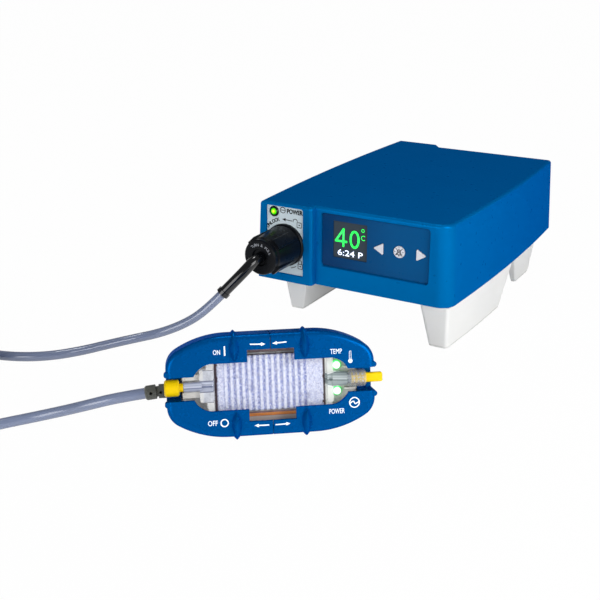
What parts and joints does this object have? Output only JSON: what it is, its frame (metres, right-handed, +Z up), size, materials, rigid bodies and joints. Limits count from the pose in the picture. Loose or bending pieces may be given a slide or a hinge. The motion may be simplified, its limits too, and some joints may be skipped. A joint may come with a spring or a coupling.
{
  "type": "blood and fluid warmer",
  "caption": "Blood and fluid warmer: a desktop controller on a stand, and a hand-held warmer with sliding covers and a ribbed heat cartridge on its cable.",
  "frame": {"origin": "middle of the rectangle that the controller and the warmer cover on the table, at table height", "axes": "+Y from the controller's front panel to its back, +Z up"},
  "size_m": [0.3424, 0.507, 0.0898],
  "materials": {
    "blue_plastic": "satin",
    "dark_blue_film": "gloss",
    "white_plastic": "satin",
    "black_plastic": "satin",
    "pale_rubber": "matt",
    "dark_rubber": "matt",
    "steel": "satin",
    "grey_film": "satin",
    "display_glass": "gloss",
    "dark_display": "gloss",
    "key_white": "satin",
    "clear_plastic": "gloss",
    "lamp_plastic": "gloss",
    "circuit_board": "satin",
    "copper_core": "satin",
    "aluminium_plate": "satin",
    "cream_plastic": "satin",
    "orange_film": "satin",
    "yellow_plastic": "satin",
    "olive_rubber": "matt",
    "grey_cord": "satin",
    "brass": "satin"
  },
  "bodies": {
    "base": {"case_cover": "blue_plastic", "case_bottom": "blue_plastic", "stand": "white_plastic", "stand_feet": "pale_rubber", "case_screws": "steel", "keypad_overlay": "dark_blue_film", "display_window": "display_glass", "display_module": "dark_display", "key_domes": "steel", "keypad_board": "circuit_board", "label_plate": "grey_film", "lamp_bezel": "black_plastic", "lamp_lens": "lamp_plastic", "output_socket": "black_plastic", "socket_nut": "black_plastic", "socket_contacts": "brass", "plug_core": "black_plastic", "plug_back_cap": "black_plastic", "plug_boot": "dark_rubber", "cord_to_plug": "grey_cord", "cord_coil": "grey_cord", "cord_to_warmer": "grey_cord", "main_board": "circuit_board", "board_components": "black_plastic", "power_board": "circuit_board", "power_transformer": "copper_core", "heat_sink": "aluminium_plate", "power_capacitors": "black_plastic", "alarm_sounder": "black_plastic", "mains_inlet": "black_plastic", "inlet_pins": "brass", "warmer_base": "blue_plastic", "warmer_deck": "cream_plastic", "base_screws": "steel", "heater_foil": "orange_film", "heater_plate": "aluminium_plate", "warmer_board": "circuit_board", "cover_switch": "black_plastic", "warmer_lamps": "lamp_plastic", "detent_springs": "steel", "cartridge_plate": "aluminium_plate", "cartridge_frame": "clear_plastic", "cable_boot": "olive_rubber", "cable_clamp": "black_plastic"},
    "cover_left": {"cover_left": "blue_plastic"},
    "cover_right": {"cover_right": "blue_plastic"},
    "key_left": {"key_left": "key_white"},
    "key_mute": {"key_mute": "key_white"},
    "key_right": {"key_right": "key_white"},
    "plug_sleeve": {"plug_sleeve": "black_plastic"},
    "power_rocker": {"power_rocker": "black_plastic"},
    "fuse_drawer": {"fuse_drawer": "black_plastic", "fuses": "clear_plastic"},
    "inlet_cap": {"inlet_cap": "yellow_plastic"},
    "outlet_collar": {"outlet_collar": "clear_plastic"},
    "outlet_plug": {"outlet_plug": "yellow_plastic"}
  },
  "joints": [
    {"name": "cover_left_slide", "type": "slide", "parent": "base", "child": "cover_left", "axis": [-0.7902, -0.6129, 0], "range_m": [0, 0.02]},
    {"name": "cover_right_slide", "type": "slide", "parent": "base", "child": "cover_right", "axis": [0.7902, 0.6129, 0], "range_m": [0, 0.02]},
    {"name": "key_left_press", "type": "slide", "parent": "base", "child": "key_left", "axis": [0, 1, 0], "range_m": [0, 0.0004], "stiffness_N_per_m": 1500, "springref_m": -0.0002},
    {"name": "key_mute_press", "type": "slide", "parent": "base", "child": "key_mute", "axis": [0, 1, 0], "range_m": [0, 0.0004], "stiffness_N_per_m": 1500, "springref_m": -0.0002},
    {"name": "key_right_press", "type": "slide", "parent": "base", "child": "key_right", "axis": [0, 1, 0], "range_m": [0, 0.0004], "stiffness_N_per_m": 1500, "springref_m": -0.0002},
    {"name": "plug_sleeve_turn", "type": "hinge", "parent": "base", "child": "plug_sleeve", "pos_m": [-0.05498, -0.03637, 0.0588], "axis": [0, -1, 0], "range_deg": [0, 45]},
    {"name": "power_rocker_turn", "type": "hinge", "parent": "base", "child": "power_rocker", "pos_m": [0.03482, 0.21043, 0.0585], "axis": [-1, 0, 0], "range_deg": [0, 14]},
    {"name": "fuse_drawer_slide", "type": "slide", "parent": "base", "child": "fuse_drawer", "axis": [0, 1, 0], "range_m": [0, 0.022]},
    {"name": "inlet_cap_pull", "type": "slide", "parent": "base", "child": "inlet_cap", "axis": [-0.7902, -0.6129, 0], "range_m": [0, 0.025]},
    {"name": "outlet_collar_turn", "type": "hinge", "parent": "base", "child": "outlet_collar", "pos_m": [0.06706, -0.145, 0.03113], "axis": [0.7902, 0.6129, 0], "continuous": true},
    {"name": "outlet_plug_pull", "type": "slide", "parent": "base", "child": "outlet_plug", "axis": [0.7902, 0.6129, 0], "range_m": [0, 0.025]}
  ]
}
